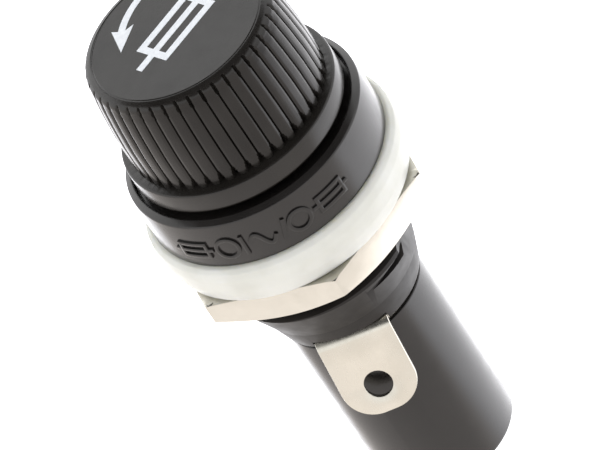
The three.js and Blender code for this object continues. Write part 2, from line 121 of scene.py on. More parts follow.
def finish_mesh(name, mesh):
    """Turns faces outwards, welds doubles, shades, and makes the object."""
    bm = bmesh.new()
    bm.from_mesh(mesh)
    bmesh.ops.remove_doubles(bm, verts=bm.verts, dist=WELD)
    bmesh.ops.dissolve_degenerate(bm, edges=bm.edges, dist=WELD)
    bmesh.ops.recalc_face_normals(bm, faces=bm.faces)
    bm.to_mesh(mesh)
    bm.free()
    shade(mesh)
    return add_object(name, mesh)


def filleted(profile, steps=6):
    """A closed [r, z] profile. A corner given as (r, z, fillet) is rounded by that radius."""
    points = []
    count = len(profile)
    for i, corner in enumerate(profile):
        here = Vector(corner[:2])
        fillet = corner[2] if len(corner) > 2 else 0
        before = Vector(profile[i - 1][:2]) - here
        after = Vector(profile[(i + 1) % count][:2]) - here
        if not fillet or before.length < TINY or after.length < TINY:
            points.append(here)
            continue
        before.normalize()
        after.normalize()
        half = before.angle(after) / 2
        if half > NEARLY_STRAIGHT:
            points.append(here)
            continue
        reach = fillet / math.tan(half)
        centre = here + (before + after).normalized() * (fillet / math.sin(half))
        start = here + before * reach - centre
        arc = start.angle_signed(here + after * reach - centre)
        for k in range(steps + 1):
            turn = Matrix.Rotation(-arc * k / steps, 2)
            points.append(centre + turn @ start)
    return points


def lathe(name, profile, sides=ROUND):
    """A piece turned about Z from a closed profile, or one whose ends lie on the axis."""
    points = filleted(profile)
    verts = []
    for i in range(sides):
        verts += [azimuth_point(p.x, 360 * i / sides, p.y) for p in points]
    count = len(points)
    faces = []
    for i in range(sides):
        for k in range(count):
            here, over = i * count, (i + 1) % sides * count
            nxt = (k + 1) % count
            if points[k].x < ON_AXIS and points[nxt].x < ON_AXIS:
                continue
            faces.append((here + k, over + k, over + nxt, here + nxt))
    return make_object(name, verts, faces)


def sweep(name, path, section):
    """Sweeps a closed section along a path. path gives (origin, x direction, y direction)."""
    verts = []
    for origin, x_way, y_way in path:
        verts += [origin + x_way * x + y_way * y for x, y in section]
    count, rings = len(section), len(path)
    faces = []
    for i in range(rings - 1):
        here, over = i * count, (i + 1) * count
        for k in range(count):
            nxt = (k + 1) % count
            faces.append((here + k, here + nxt, over + nxt, over + k))
    faces.append(tuple(reversed(range(count))))
    faces.append(tuple(range((rings - 1) * count, rings * count)))
    return make_object(name, verts, faces)


def circle(r, sides):
    return [(r * math.cos(TAU * k / sides), r * math.sin(TAU * k / sides)) for k in range(sides)]


def block(name, azimuth, start, end, width, low, high):
    """A box that runs outwards from the axis at an azimuth."""
    verts = []
    for z in (low, high):
        for r, side in ((start, -1), (end, -1), (end, 1), (start, 1)):
            across = azimuth_point(width / 2 * side, azimuth + 90, 0)
            verts.append(azimuth_point(r, azimuth, z) + across)
    faces = [(0, 1, 2, 3), (4, 5, 6, 7), (0, 1, 5, 4), (1, 2, 6, 5), (2, 3, 7, 6), (3, 0, 4, 7)]
    return make_object(name, verts, faces)


SLICE_STEP = 3                  # degrees between the rows of vertices of a ring slice


def ring_slice(name, inner, outer, start, end, low, high):
    """A slice of a ring between two azimuths, as a cutter or a lug."""
    steps = max(2, round(abs(end - start) / SLICE_STEP))
    path = []
    for i in range(steps + 1):
        azimuth = start + (end - start) * i / steps
        path.append((Vector(), azimuth_point(1, azimuth, 0), UP_MM))
    return sweep(name, path, [(inner, low), (outer, low), (outer, high), (inner, high)])


def combine(piece, tool, operation):
    """A boolean of one piece with another, applied to the mesh; the other is removed."""
    change = piece.modifiers.new("change", "BOOLEAN")
    change.operation = operation
    change.solver = "EXACT"
    change.object = tool
    apply_modifiers(piece)
    bpy.data.objects.remove(tool)
    return piece


def cut(piece, *tools):
    """Takes each tool out of the piece."""
    for tool in tools:
        combine(piece, tool, "DIFFERENCE")
    return piece


def add(piece, *tools):
    """Makes the piece and the tools one closed mesh."""
    for tool in tools:
        combine(piece, tool, "UNION")
    return piece


def bevel(piece, width, angle):
    """Rounds the edges that bend by more than an angle in degrees."""
    edge = piece.modifiers.new("edge", "BEVEL")
    edge.width = width * MM
    edge.segments = 2
    edge.limit_method = "ANGLE"
    edge.angle_limit = math.radians(angle)
    apply_modifiers(piece)


def apply_modifiers(piece):
    """Puts the result of the piece's modifiers into its mesh."""
    bpy.context.view_layer.update()
    graph = bpy.context.evaluated_depsgraph_get()
    mesh = bpy.data.meshes.new_from_object(piece.evaluated_get(graph))
    piece.modifiers.clear()
    old = piece.data
    piece.data = mesh
    bpy.data.meshes.remove(old)
    shade(mesh)


def joined(name, pieces):
    """Several closed meshes as one object."""
    bm = bmesh.new()
    for piece in pieces:
        bm.from_mesh(piece.data)
        bpy.data.objects.remove(piece)
    mesh = bpy.data.meshes.new(name)
    bm.to_mesh(mesh)
    bm.free()
    shade(mesh)
    return add_object(name, mesh)


def radial_slots(count, width, reach, low, high, first=0):
    """Cutters for slots spaced evenly round the axis, out to a radius of reach."""
    return [block("slot", first + 360 * i / count, 0.5, reach, width, low, high)
            for i in range(count)]


# ---------------------------------------------------------------- materials

NOISE_ENDS = (0.3, 0.7)         # the part of noise's range that most of it falls in
TONE_ENDS = (0.35, 0.65)        # noise below the first is one tone, above the second the other
PLAIN_SPECULAR = 0.5
BAND_EDGE = 0.2                 # half the height over which a dull band fades in, in millimetres


def new_material(name, color, roughness, metallic=0.0, **inputs):
    """A principled material. Further shader inputs are given by name, with _ for a space."""
    material = bpy.data.materials.new(name)
    material.use_nodes = True
    shader = material.node_tree.nodes["Principled BSDF"]
    shader.inputs["Base Color"].default_value = (*color, 1)
    shader.inputs["Roughness"].default_value = roughness
    shader.inputs["Metallic"].default_value = metallic
    for key, value in inputs.items():
        shader.inputs[key.replace("_", " ")].default_value = value
    return material, material.node_tree, shader


def object_noise(tree, scale, detail=3, stretch=(1, 1, 1)):
    """Noise fixed to the piece. scale is in features per metre."""
    where = tree.nodes.new("ShaderNodeTexCoord")
    mapping = tree.nodes.new("ShaderNodeMapping")
    mapping.inputs["Scale"].default_value = stretch
    noise = tree.nodes.new("ShaderNodeTexNoise")
    noise.inputs["Scale"].default_value = scale
    noise.inputs["Detail"].default_value = detail
    tree.links.new(where.outputs["Object"], mapping.inputs["Vector"])
    tree.links.new(mapping.outputs["Vector"], noise.inputs["Vector"])
    return noise


def spread(tree, source, low, high):
    """Maps noise round its middle to the range low to high."""
    span = tree.nodes.new("ShaderNodeMapRange")
    span.inputs["From Min"].default_value = NOISE_ENDS[0]
    span.inputs["From Max"].default_value = NOISE_ENDS[1]
    span.inputs["To Min"].default_value = low
    span.inputs["To Max"].default_value = high
    tree.links.new(source.outputs["Fac"], span.inputs["Value"])
    return span.outputs["Result"]


def two_tone(tree, shader, source, first, second):
    """Colours the material with a slow mix of two tones."""
    ramp = tree.nodes.new("ShaderNodeValToRGB")
    for element, position, tone in zip(ramp.color_ramp.elements, TONE_ENDS, (first, second)):
        element.position = position
        element.color = (*tone, 1)
    tree.links.new(source.outputs["Fac"], ramp.inputs["Fac"])
    tree.links.new(ramp.outputs["Color"], shader.inputs["Base Color"])


def bumped(tree, shader, source, distance):
    """Fine relief from a noise. distance is its height in metres."""
    bump = tree.nodes.new("ShaderNodeBump")
    bump.inputs["Distance"].default_value = distance
    bump.inputs["Strength"].default_value = 1
    tree.links.new(source.outputs["Fac"], bump.inputs["Height"])
    tree.links.new(bump.outputs["Normal"], shader.inputs["Normal"])


def smooth_step(tree, value, start, end, low, high):
    """A node that blends from low to high as value goes from start to end."""
    step = tree.nodes.new("ShaderNodeMapRange")
    step.interpolation_type = "SMOOTHSTEP"
    ends = {"From Min": start, "From Max": end, "To Min": low, "To Max": high}
    for key, number in ends.items():
        step.inputs[key].default_value = number
    tree.links.new(value, step.inputs["Value"])
    return step.outputs["Result"]


def calculate(tree, operation, first, second):
    """A node that works out one sum. first and second are numbers or other nodes' outputs."""
    node = tree.nodes.new("ShaderNodeMath")
    node.operation = operation
    for socket, value in zip(node.inputs, (first, second)):
        if isinstance(value, (int, float)):
            socket.default_value = value
        else:
            tree.links.new(value, socket)
    return node.outputs[0]


def along(tree, vector, direction):
    """How far a vector goes along a direction."""
    node = tree.nodes.new("ShaderNodeVectorMath")
    node.operation = "DOT_PRODUCT"
    node.inputs[1].default_value = direction
    tree.links.new(vector, node.inputs[0])
    return node.outputs["Value"]


def moulded_plastic(name, dark, light, roughness, grain, index=1.5, dull=None):
    """A moulding: slow colour drift, roughness that varies, and a fine surface grain.

    dull is a band of heights that is less glossy: from, to, specular level, extra roughness.
    """
    material, tree, shader = new_material(name, dark, roughness[0], IOR=index)
    drift = object_noise(tree, scale=260, detail=2)
    two_tone(tree, shader, drift, dark, light)
    mottle = object_noise(tree, scale=900, detail=4)
    polish = spread(tree, mottle, *roughness)
    if dull:
        low, high, level, extra = dull
        where = tree.nodes.new("ShaderNodeTexCoord").outputs["Object"]
        height = along(tree, where, (0, 0, 1))
        above = smooth_step(tree, height, (low - BAND_EDGE) * MM, (low + BAND_EDGE) * MM, 0, 1)
        below = smooth_step(tree, height, (high - BAND_EDGE) * MM, (high + BAND_EDGE) * MM, 1, 0)
        band = calculate(tree, "MULTIPLY", above, below)
        polish = calculate(tree, "ADD", polish, calculate(tree, "MULTIPLY", band, extra))
        loss = calculate(tree, "MULTIPLY", band, PLAIN_SPECULAR - level)
        shine = calculate(tree, "SUBTRACT", PLAIN_SPECULAR, loss)
        tree.links.new(shine, shader.inputs["Specular IOR Level"])
    tree.links.new(polish, shader.inputs["Roughness"])
    bumped(tree, shader, object_noise(tree, scale=5200, detail=2), grain)
    return material


def plated_metal(name, dark, light, roughness, grain, stretch=(1, 1, 1)):
    """Plated sheet or turned metal: slight tarnish, and fine lines along the rolling direction."""
    material, tree, shader = new_material(name, light, roughness[0], 1.0)
    tarnish = object_noise(tree, scale=420, detail=4)
    two_tone(tree, shader, tarnish, dark, light)
    lines = object_noise(tree, scale=3200, stretch=stretch)
    tree.links.new(spread(tree, lines, *roughness), shader.inputs["Roughness"])
    bumped(tree, shader, lines, grain)
    return material


def milky_nylon():
    material, tree, shader = new_material(
        "milky nylon", (0.55, 0.55, 0.52), 0.42, Subsurface_Weight=0.55, Subsurface_Scale=0.003)
    shader.inputs["Specular IOR Level"].default_value = 0.3
    shader.inputs["Subsurface Radius"].default_value = (1.0, 0.95, 0.75)
    cloud = object_noise(tree, scale=340)
    two_tone(tree, shader, cloud, (0.57, 0.578, 0.54), (0.632, 0.642, 0.612))
    bumped(tree, shader, object_noise(tree, scale=1500), 0.00002)
    return material


def clear_glass():
    material, tree, shader = new_material(
        "fuse glass", (0.80, 0.89, 0.88), 0.03, Transmission_Weight=1.0, IOR=1.5)
    ripple = object_noise(tree, scale=180, detail=1, stretch=(1, 1, 0.2))
    bumped(tree, shader, ripple, 0.00002)
    return material


def printed_ink():
    material, tree, shader = new_material("printed ink", (0.72, 0.74, 0.77), 0.55)
    patchy = object_noise(tree, scale=2600, detail=4)
    two_tone(tree, shader, patchy, (0.78, 0.81, 0.86), (0.87, 0.90, 0.94))
    bumped(tree, shader, patchy, 0.00001)
    return material


BLACK_MOULDING = moulded_plastic(
    "black moulding", (0.0075, 0.0068, 0.0064), (0.011, 0.0098, 0.0094), (0.16, 0.26), 0.000003)
BLACK_NECK = moulded_plastic(
    "black neck", (0.0095, 0.0085, 0.0080), (0.014, 0.0125, 0.0118), (0.16, 0.26), 0.000003,
    dull=(-40, -2, 0.22, 0.22))
BLACK_CAP = moulded_plastic(
    "black cap", (0.010, 0.0088, 0.0078), (0.015, 0.0135, 0.0120), (0.18, 0.26), 0.000004,
    index=1.44, dull=(7.1, 14.9, 0.34, 0))
NICKEL_STRIP = plated_metal(
    "nickel strip", (0.568, 0.545, 0.482), (0.612, 0.588, 0.524), (0.20, 0.30), 0.000001,
    stretch=(1, 1, 0.06))
BRIGHT_NICKEL = plated_metal(
    "bright nickel", (0.572, 0.552, 0.498), (0.618, 0.598, 0.542), (0.14, 0.22), 0.000002)
BRASS = plated_metal(
    "brass", (0.62, 0.42, 0.16), (0.76, 0.56, 0.26), (0.24, 0.38), 0.000003)
SPRING_STEEL = plated_metal(
    "spring steel", (0.42, 0.43, 0.45), (0.58, 0.59, 0.61), (0.22, 0.34), 0.000002)
SOLDER = plated_metal(
    "solder", (0.40, 0.40, 0.40), (0.55, 0.55, 0.54), (0.35, 0.50), 0.00001)
NYLON = milky_nylon()
GLASS = clear_glass()
INK = printed_ink()


def dress(piece, material, body, slot, *nodes):
    """Gives a piece its material and its body, and hides the CAD nodes that it stands for. slot is
    not used.
    """
    piece.data.materials.clear()
    piece.data.materials.append(material)
    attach(piece, body)
    if nodes:
        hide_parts(*nodes)


# ---------------------------------------------------------------- cap

PRINT_HEIGHT = 0.025            # how far the printed ink stands on the cap's face
RIBS = 46
RIB_PITCH = 360 / RIBS
CAP_TOP = top("cap_knob")
FACE_Z = CAP_TOP - PRINT_HEIGHT     # the moulded face, under the printed ink
FACE_RADIUS = 6.98
SHOULDER_Z = 14.6               # where the rounded shoulder under the face starts
SHOULDER_RADIUS = 7.64
FLATTENED = 0.4                 # height over which the ribs' flat crests turn round
GROOVE_TOP = 15.15
GROOVE_HALF_WIDTH = 0.07
GROOVE_DEPTH = 0.18
TOP_FLARE_Z, TOP_FLARE_REACH = 14.75, 0.75
TOP_FLARE = (0.11, 0.12)        # what the flare adds to the half width and to the depth
LOW_FLARE_REACH = 0.95
LOW_FLARE = (0.24, 0.36)
SLOPE_REACH, SLOPE_DEPTH = 0.25, 0.1    # the shallow slopes on both sides of a groove
LEDGE_Z = 6.9                   # the skirt ring's upper side, where the ribs start
SKIRT_RADIUS = radius("cap_knob")
SKIRT_BOTTOM = 4.95
STEM_END = bottom("cap_knob")
STEM_RADIUS = 5.0
STEM_BORE = 4.15
STEM_ROOT = 12.9                # the closed end of the hollow between the skirt and the stem
SOCKET_Z = 13.45                # the closed end of the hole that the pin's head turns in
LUG_AZIMUTHS = (40, 220)
LUG_HALF = 14                   # half a bayonet lug's width in degrees
LUG_RADIUS = 5.9
LUG_HEIGHTS = (0.7, 1.9)
RIB_CROWN = 0.03                # how far the middle of a rib stands above its edges
# where a rib's vertices stand, as shares of the pitch from one groove's middle to the next
RIB_STATIONS = (0, 0.035, 0.07, 0.14, 0.22, 0.3, 0.4, 0.5, 0.6, 0.7, 0.78, 0.86, 0.93, 0.965)


def crest_radius(z):
    """The ribs' outside: a slight barrel taper, then the rounded shoulder under the top face."""
    knots = ((LEDGE_Z, 8.12), (10.2, 8.08), (12.4, 7.92), (13.9, 7.76),
             (SHOULDER_Z, SHOULDER_RADIUS))
    if z <= knots[0][0]:
        return knots[0][1]
    for (z0, r0), (z1, r1) in zip(knots, knots[1:]):
        if z <= z1:
            return r0 + (r1 - r0) * (z - z0) / (z1 - z0)
    share = min(1.0, (z - SHOULDER_Z) / (FACE_Z - SHOULDER_Z))
    return FACE_RADIUS + (SHOULDER_RADIUS - FACE_RADIUS) * math.sqrt(1 - share * share)


def groove_depth(offset, z):
    """How deep a groove is, offset millimetres from its middle. It flares at both ends."""
    if z > GROOVE_TOP:
        return 0
    high = max(0.0, 1 - abs(z - TOP_FLARE_Z) / TOP_FLARE_REACH)
    low = max(0.0, 1 - (z - LEDGE_Z) / LOW_FLARE_REACH)
    half_width = GROOVE_HALF_WIDTH + TOP_FLARE[0] * high + LOW_FLARE[0] * low
    depth = GROOVE_DEPTH + TOP_FLARE[1] * high + LOW_FLARE[1] * low
    core = max(0.0, 1 - offset / half_width)
    slopes = max(0.0, 1 - offset / SLOPE_REACH) * (1 - high)
    return depth * core * (1.3 - 0.3 * core) + SLOPE_DEPTH * slopes


def cap_rows():
    """Heights of the rows of vertices up the ribs, closer together where the grooves flare."""
    low = [LEDGE_Z + 0.12 * k for k in range(9)]
    middle = [8.2 + 0.6 * k for k in range(10)]
    high = [13.9 + 0.09 * k for k in range(17)]
    return [z for z in low + middle + high if z < FACE_Z - 0.004] + [FACE_Z]


def ribbed_row(z):
    """One ring of the ribbed side: nearly flat lands with a groove between each and the next."""
    crest = crest_radius(z)
    flatness = 1.0 if z < SHOULDER_Z else max(0.0, 1 - (z - SHOULDER_Z) / FLATTENED)
    ring = []
    for rib in range(RIBS):
        for share in RIB_STATIONS:
            from_middle = math.radians((share - 0.5) * RIB_PITCH)
            flat = crest * math.cos(math.radians(RIB_PITCH / 2)) / math.cos(from_middle)
            land = crest + (flat - crest) * flatness
            offset = min(share, 1 - share) * math.radians(RIB_PITCH) * crest
            land += RIB_CROWN * flatness * (1 - abs(2 * share - 1))
            azimuth = (rib + share) * RIB_PITCH
            ring.append(azimuth_point(land - groove_depth(offset, z), azimuth, z))
    return ring


def plain_row(r, z):
    """A round ring with as many vertices as a ribbed one."""
    return [azimuth_point(r, (rib + share) * RIB_PITCH, z)
            for rib in range(RIBS) for share in RIB_STATIONS]


def cap_knob():
    skirt = filleted([
        (8.0, LEDGE_Z - 0.02), (SKIRT_RADIUS - 0.06, 6.8, 0.2), (SKIRT_RADIUS, SKIRT_BOTTOM, 0.28),
        (6.2, SKIRT_BOTTOM), (6.0, STEM_ROOT, 0.4), (STEM_RADIUS, STEM_ROOT, 0.3),
        (STEM_RADIUS, STEM_END, 0.25), (STEM_BORE, STEM_END, 0.15), (STEM_BORE, 12.3, 0.2),
        (1.3, 12.3), (1.3, 12.75), (2.6, 12.75), (2.6, SOCKET_Z), (0, SOCKET_Z)], 5)
    rows = [plain_row(FACE_RADIUS - 0.2, FACE_Z), plain_row(FACE_RADIUS - 0.12, FACE_Z - 0.05),
            plain_row(FACE_RADIUS - 0.06, FACE_Z - 0.05)]
    rows += [ribbed_row(z) for z in reversed(cap_rows())]
    rows += [plain_row(p.x, p.y) for p in skirt[:-1]]
    count = len(rows[0])
    verts = [v for row in rows for v in row]
    verts += [Vector((0, 0, FACE_Z * MM)), Vector((0, 0, SOCKET_Z * MM))]
    top_centre, socket_centre = len(verts) - 2, len(verts) - 1
    faces = []
    for i in range(len(rows) - 1):
        for k in range(count):
            nxt = (k + 1) % count
            here, under = i * count, (i + 1) * count
            faces.append((here + k, here + nxt, under + nxt, under + k))
    last = (len(rows) - 1) * count
    for k in range(count):
        nxt = (k + 1) % count
        faces.append((top_centre, k, nxt))
        faces.append((socket_centre, last + nxt, last + k))
    knob = make_object("cap_shell", verts, faces)
    lugs = [ring_slice("lug", STEM_RADIUS - 0.4, LUG_RADIUS, azimuth - LUG_HALF,
                       azimuth + LUG_HALF, *LUG_HEIGHTS) for azimuth in LUG_AZIMUTHS]
    dress(add(knob, *lugs), BLACK_CAP, "cap", "black_cap", "cap_knob")


# ---------------------------------------------------------------- print on the cap

PRINT_STROKE = 0.6
SYMBOL_MIDDLE = Vector((0.2, 0.3))
SYMBOL_TURN = 26                # degrees from +X to the line through the symbol
ARROW_CENTRE = Vector((2.03, -0.08))
ARROW_RADIUS = 6.4
BARB = 0.88                     # how far the arrow's head reaches to each side


def flat_pieces(outlines, holes, low, high, cuts=()):
    """Vertices and faces of closed outlines with holes, given thickness from low to high."""
    points, edges = [], [tuple(pair) for pair in cuts]
    for outline in list(outlines) + list(holes):
        first = len(points)
        points += [Vector(p) for p in outline]
        edges += [(first + k, first + (k + 1) % len(outline)) for k in range(len(outline))]
    flat, _, triangles, *_ = delaunay_2d_cdt(points, edges, [], 0, 1e-6)
    triangles = [t for t in triangles if inside(centre_of(flat, t), outlines, holes)]
    verts = [Vector((p.x, p.y, z)) for z in (low, high) for p in flat]
    count = len(flat)
    faces = [tuple(reversed(t)) for t in triangles]
    faces += [tuple(count + k for k in t) for t in triangles]
    sides = {(a, b) for t in triangles for a, b in zip(t, t[1:] + t[:1])}
    faces += [(a, b, count + b, count + a) for a, b in sorted(sides) if (b, a) not in sides]
    return verts, faces


def centre_of(points, triangle):
    return sum((Vector(points[k]) for k in triangle), Vector((0, 0))) / 3


def within(p, outline):
    """Whether a point is inside a closed outline, by counting crossings."""
    odd = False
    for a, b in zip(outline, outline[1:] + outline[:1]):
        if (a[1] > p[1]) != (b[1] > p[1]):
            if p[0] < (b[0] - a[0]) * (p[1] - a[1]) / (b[1] - a[1]) + a[0]:
                odd = not odd
    return odd


def inside(p, outlines, holes):
    return any(within(p, o) for o in outlines) and not any(within(p, h) for h in holes)


def symbol_point(x, y):
    """A point of the fuse symbol, x along its line and y across it, on the cap's face."""
    return SYMBOL_MIDDLE + Matrix.Rotation(math.radians(SYMBOL_TURN), 2) @ Vector((x, y))


def symbol_box(half_length, half_height):
    return [symbol_point(x, y) for x, y in (
        (-half_length, -half_height), (half_length, -half_height),
        (half_length, half_height), (-half_length, half_height))]


def arrow_point(r, degrees):
    a = math.radians(degrees)
    return ARROW_CENTRE + Vector((math.cos(a), math.sin(a))) * r


def cap_print():
    """Generic print: a fuse symbol, and an arrow that shows the way the cap turns."""
    half = PRINT_STROKE / 2
    box_length, box_height, line_length = 3.0, 1.62, 4.5
    line = symbol_box(line_length, half)
    frame_outline = symbol_box(box_length, box_height)
    hollow = symbol_box(box_length - PRINT_STROKE, box_height - PRINT_STROKE)
    start, neck, tip = 106, 146.5, 167
    turn = [start + (neck - start) * k / 24 for k in range(25)]
    arrow = [arrow_point(ARROW_RADIUS + half, d) for d in turn]
    arrow += [arrow_point(ARROW_RADIUS + BARB, neck - 1), arrow_point(ARROW_RADIUS, tip),
              arrow_point(ARROW_RADIUS - BARB, neck - 5)]
    arrow += [arrow_point(ARROW_RADIUS - half, d) for d in reversed(turn)]
    low, high = CAP_TOP - PRINT_HEIGHT - 0.01, CAP_TOP
    shapes = [([arrow], []), ([frame_outline], [hollow]), ([line], [])]
    parts = []
    for outlines, holes in shapes:
        verts, faces = flat_pieces(outlines, holes, low, high)
        parts.append(make_object("ink", [v * MM for v in verts], faces))
    ink = joined("cap_print", [parts[0], add(parts[1], parts[2])])
    ink.data.materials.append(INK)
    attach(ink, "cap")


# ---------------------------------------------------------------- moulded body

THREAD_RADIUS = 8.0
THREAD_ROOT = 7.1
THREAD_PITCH = 1.5
THREAD_STEPS = 60               # per turn
THREAD_TOP = -0.75              # where the groove ends, just under the flange
GROOVE_Z = -9.25                # middle of the lowest groove, at azimuth 0
GROOVE_SECTION = ((0, -0.13), (1.2, -0.717), (1.2, 0.717), (0, 0.13))
RUN_OUT_START = -5              # azimuth where the groove starts
RUN_OUT_ANGLE = 39              # degrees over which it gets to its full depth
RUN_OUT_RISE = 0.95             # how far out of the neck it starts
CHANNEL = (4.75, 6.15)          # inside and outside radius of the bayonet's channels
CHANNEL_HALF = 17               # half a channel's width in degrees
CHANNEL_TURN = 60               # degrees from released to locked
LIP_BORE = 5.25
FLANGE_RADIUS = 9.8
FLANGE_TOP_RADIUS = 9.66
FLANGE_HEIGHT = 4.28
BARREL_RADIUS = radius("rear_barrel")
BARREL_END = bottom("rear_barrel")
NECK_END = bottom("neck_body")
SLEEVE_BORE = 5.0
BARREL_FLOOR = -28.5            # inside, under the fuse
FLAT_AZIMUTH = 70
FLAT_DISTANCE = 6.5             # from the axis
TAB_AZIMUTH = -18
SIDE_TOP = top("side_terminal")
SLOT_GAP = 0.06                 # round the tab where it leaves the moulding
SLOT_WIDTH = 6.12
RIVET_HOLE = 1.05


def thread_path(start_azimuth, start_z, turns, fade_in=0.0):
    """A helix at the thread's root that comes in from fade_in millimetres outside it."""
    path = []
    count = round(turns * THREAD_STEPS)
    for i in range(count + 1):
        turned = 360 * turns * i / count
        azimuth = start_azimuth + turned
        r = THREAD_ROOT + fade_in * max(0.0, 1 - turned / RUN_OUT_ANGLE)
        origin = azimuth_point(r, azimuth, start_z + THREAD_PITCH * turned / 360)
        path.append((origin, azimuth_point(1, azimuth, 0), UP_MM))
    return path


def neck_body():
    neck = lathe("neck_shell", [
        (LIP_BORE, -4), (SLEEVE_BORE, -4), (SLEEVE_BORE, NECK_END), (5.98, NECK_END, 0.1),
        (6.64, -11.67, 0.15), (THREAD_RADIUS, -8.57, 0.1), (THREAD_RADIUS, 0),
        (FLANGE_RADIUS, 0, 0.2), (FLANGE_TOP_RADIUS, FLANGE_HEIGHT, 0.22), (9.08, 4.64, 0.1),
        (8.98, 3.9, 0.1), (LIP_BORE, 3.9, 0.15)])
    start_z = GROOVE_Z + THREAD_PITCH * RUN_OUT_START / 360
    turns = (THREAD_TOP - start_z) / THREAD_PITCH
    groove = sweep("groove", thread_path(RUN_OUT_START, start_z, turns, RUN_OUT_RISE),
                   GROOVE_SECTION)
    flat = block("flat", FLAT_AZIMUTH, FLAT_DISTANCE, 12, 24, NECK_END + 0.5, 0)
    slot = block("slot", TAB_AZIMUTH, 3, 9, SLOT_WIDTH, NECK_END - 1, SIDE_TOP + SLOT_GAP)
    cuts = [groove, flat, slot]
    for azimuth in LUG_AZIMUTHS:
        start, end = azimuth - CHANNEL_HALF, azimuth + CHANNEL_HALF
        cuts.append(ring_slice("entry", *CHANNEL, start, end, 1.7, 4.9))
        cuts.append(ring_slice("pocket", *CHANNEL, start - CHANNEL_TURN, end, -0.4, 2.2))
    dress(cut(neck, *cuts), BLACK_NECK, "holder", "black_moulding", "neck_body")


# ---------------------------------------------------------------- raised marks on the flange

MARK_Z = 1.95                   # middle of the marks
MARK_STROKE = 0.15              # half the width of a stroke
MARK_HEIGHT = 0.16
MARK_ROOT = 0.2                 # how far a mark reaches into the flange
MARK_EDGE = 0.03                # how far down a mark's broken edges start
MARK_SLOPE = 0.05               # how far its sides slope


def on_flange(run, z, lift):
    """A point on the flange's side, run millimetres along it from azimuth 0."""
    r = FLANGE_RADIUS - (FLANGE_RADIUS - FLANGE_TOP_RADIUS) * (z - 0.2) / (FLANGE_HEIGHT - 0.2)
    return azimuth_point(r + lift, math.degrees(run / FLANGE_RADIUS), z)


def stroke(points, closed=False):
    """A raised line on the flange's side, through points given as (run, z)."""
    foot, crown = MARK_STROKE + MARK_SLOPE, MARK_STROKE - MARK_SLOPE
    section = ((-foot, -MARK_ROOT), (foot, -MARK_ROOT), (MARK_STROKE, MARK_HEIGHT - MARK_EDGE),
               (crown, MARK_HEIGHT), (-crown, MARK_HEIGHT),
               (-MARK_STROKE, MARK_HEIGHT - MARK_EDGE))
    count = len(points)
    flat = [Vector(p) for p in points]
    rings = []
    for i, p in enumerate(flat):
        before = flat[i - 1] if closed or i else p
        after = flat[(i + 1) % count] if closed or i < count - 1 else p
        way_in = (p - before).normalized() if (p - before).length > TINY else None
        way_out = (after - p).normalized() if (after - p).length > TINY else None
        way = ((way_in or way_out) + (way_out or way_in)).normalized()
        side = Vector((way.y, -way.x))
        reach = 1 / max(0.5, abs(way.dot(way_in or way_out)))
        rings.append([on_flange(*(p + side * across * reach), lift) for across, lift in section])
    verts = [v for ring in rings for v in ring]
    size = len(rings[0])
    faces = []
    for i in range(count if closed else count - 1):
        here, over = i * size, (i + 1) % count * size
        faces += [(here + k, here + (k + 1) % size, over + (k + 1) % size, over + k)
                  for k in range(size)]
    if not closed:
        faces += [tuple(reversed(range(size))), tuple(range((count - 1) * size, count * size))]
    return make_object("stroke", verts, faces)


def flange_marks():
    """Generic raised marks: a fuse symbol at each end, and between them a ring, waves and bars."""
    def at(azimuth):
        return math.radians(azimuth) * FLANGE_RADIUS

    def line(x0, z0, x1, z1, pieces=6):
        return [(x0 + (x1 - x0) * k / pieces, z0 + (z1 - z0) * k / pieces)
                for k in range(pieces + 1)]

    def fuse_sign(azimuth, half=1.15, tall=0.62, lead=0.55):
        x = at(azimuth)
        corners = [(x - half, MARK_Z - tall), (x + half, MARK_Z - tall),
                   (x + half, MARK_Z + tall), (x - half, MARK_Z + tall)]
        outline = []
        for k, corner in enumerate(corners):
            outline += line(*corner, *corners[(k + 1) % 4], 8)[:-1]
        through = line(x - half - lead, MARK_Z, x + half + lead, MARK_Z, 12)
        return [stroke(outline, closed=True), stroke(through)]

    def ring(azimuth, r=0.88):
        return [stroke([(at(azimuth) + x, MARK_Z + z) for x, z in circle(r, 28)], closed=True)]

    def wave(azimuth, half=1.05, tall=0.62):
        shares = [k / 10 - 1 for k in range(21)]
        return [stroke([(at(azimuth) + half * share, MARK_Z - tall * math.sin(math.pi * share))
                        for share in shares])]

    def bar(azimuth, lean=0.0, tall=0.9):
        x = at(azimuth)
        return [stroke(line(x - lean, MARK_Z - tall, x + lean, MARK_Z + tall))]

    marks = fuse_sign(16) + ring(-1) + bar(-9, 0.25) + wave(-19)
    marks += bar(-28) + ring(-36) + fuse_sign(-53)
    dress(joined("flange_marks", marks), BLACK_MOULDING, "holder", "black_moulding")


# ---------------------------------------------------------------- rear moulding

def rear_barrel():
    barrel = lathe("barrel_shell", [
        (RIVET_HOLE, BARREL_FLOOR), (RIVET_HOLE, BARREL_END), (BARREL_RADIUS, BARREL_END, 0.45),
        (BARREL_RADIUS, -14.3, 0.14), (SLEEVE_BORE, -14.3), (SLEEVE_BORE, -18.6), (3.85, -19.7),
        (3.85, BARREL_FLOOR, 0.2)])
    # the recess behind the side tab, cut along the tab's slope
    behind = STRIP + SLOT_GAP
    room = block("room", 0, -1, 5, SLOT_WIDTH, -behind, 3 - behind)
    room.data.transform(Matrix.Rotation(math.radians(SIDE_BEND), 4, "X"))
    out = SIDE_OFFSET - SIDE_BEND_RADIUS * (1 - math.sin(math.radians(SIDE_BEND)))
    down = SIDE_BEND_RADIUS * (1 - math.cos(math.radians(SIDE_BEND)))
    room.data.transform(Matrix.Translation(Vector((0, -out, SIDE_TOP - down)) * MM))
    cut(barrel, spun(room, TAB_AZIMUTH))
    dress(barrel, BLACK_MOULDING, "holder", "black_moulding", "rear_barrel")


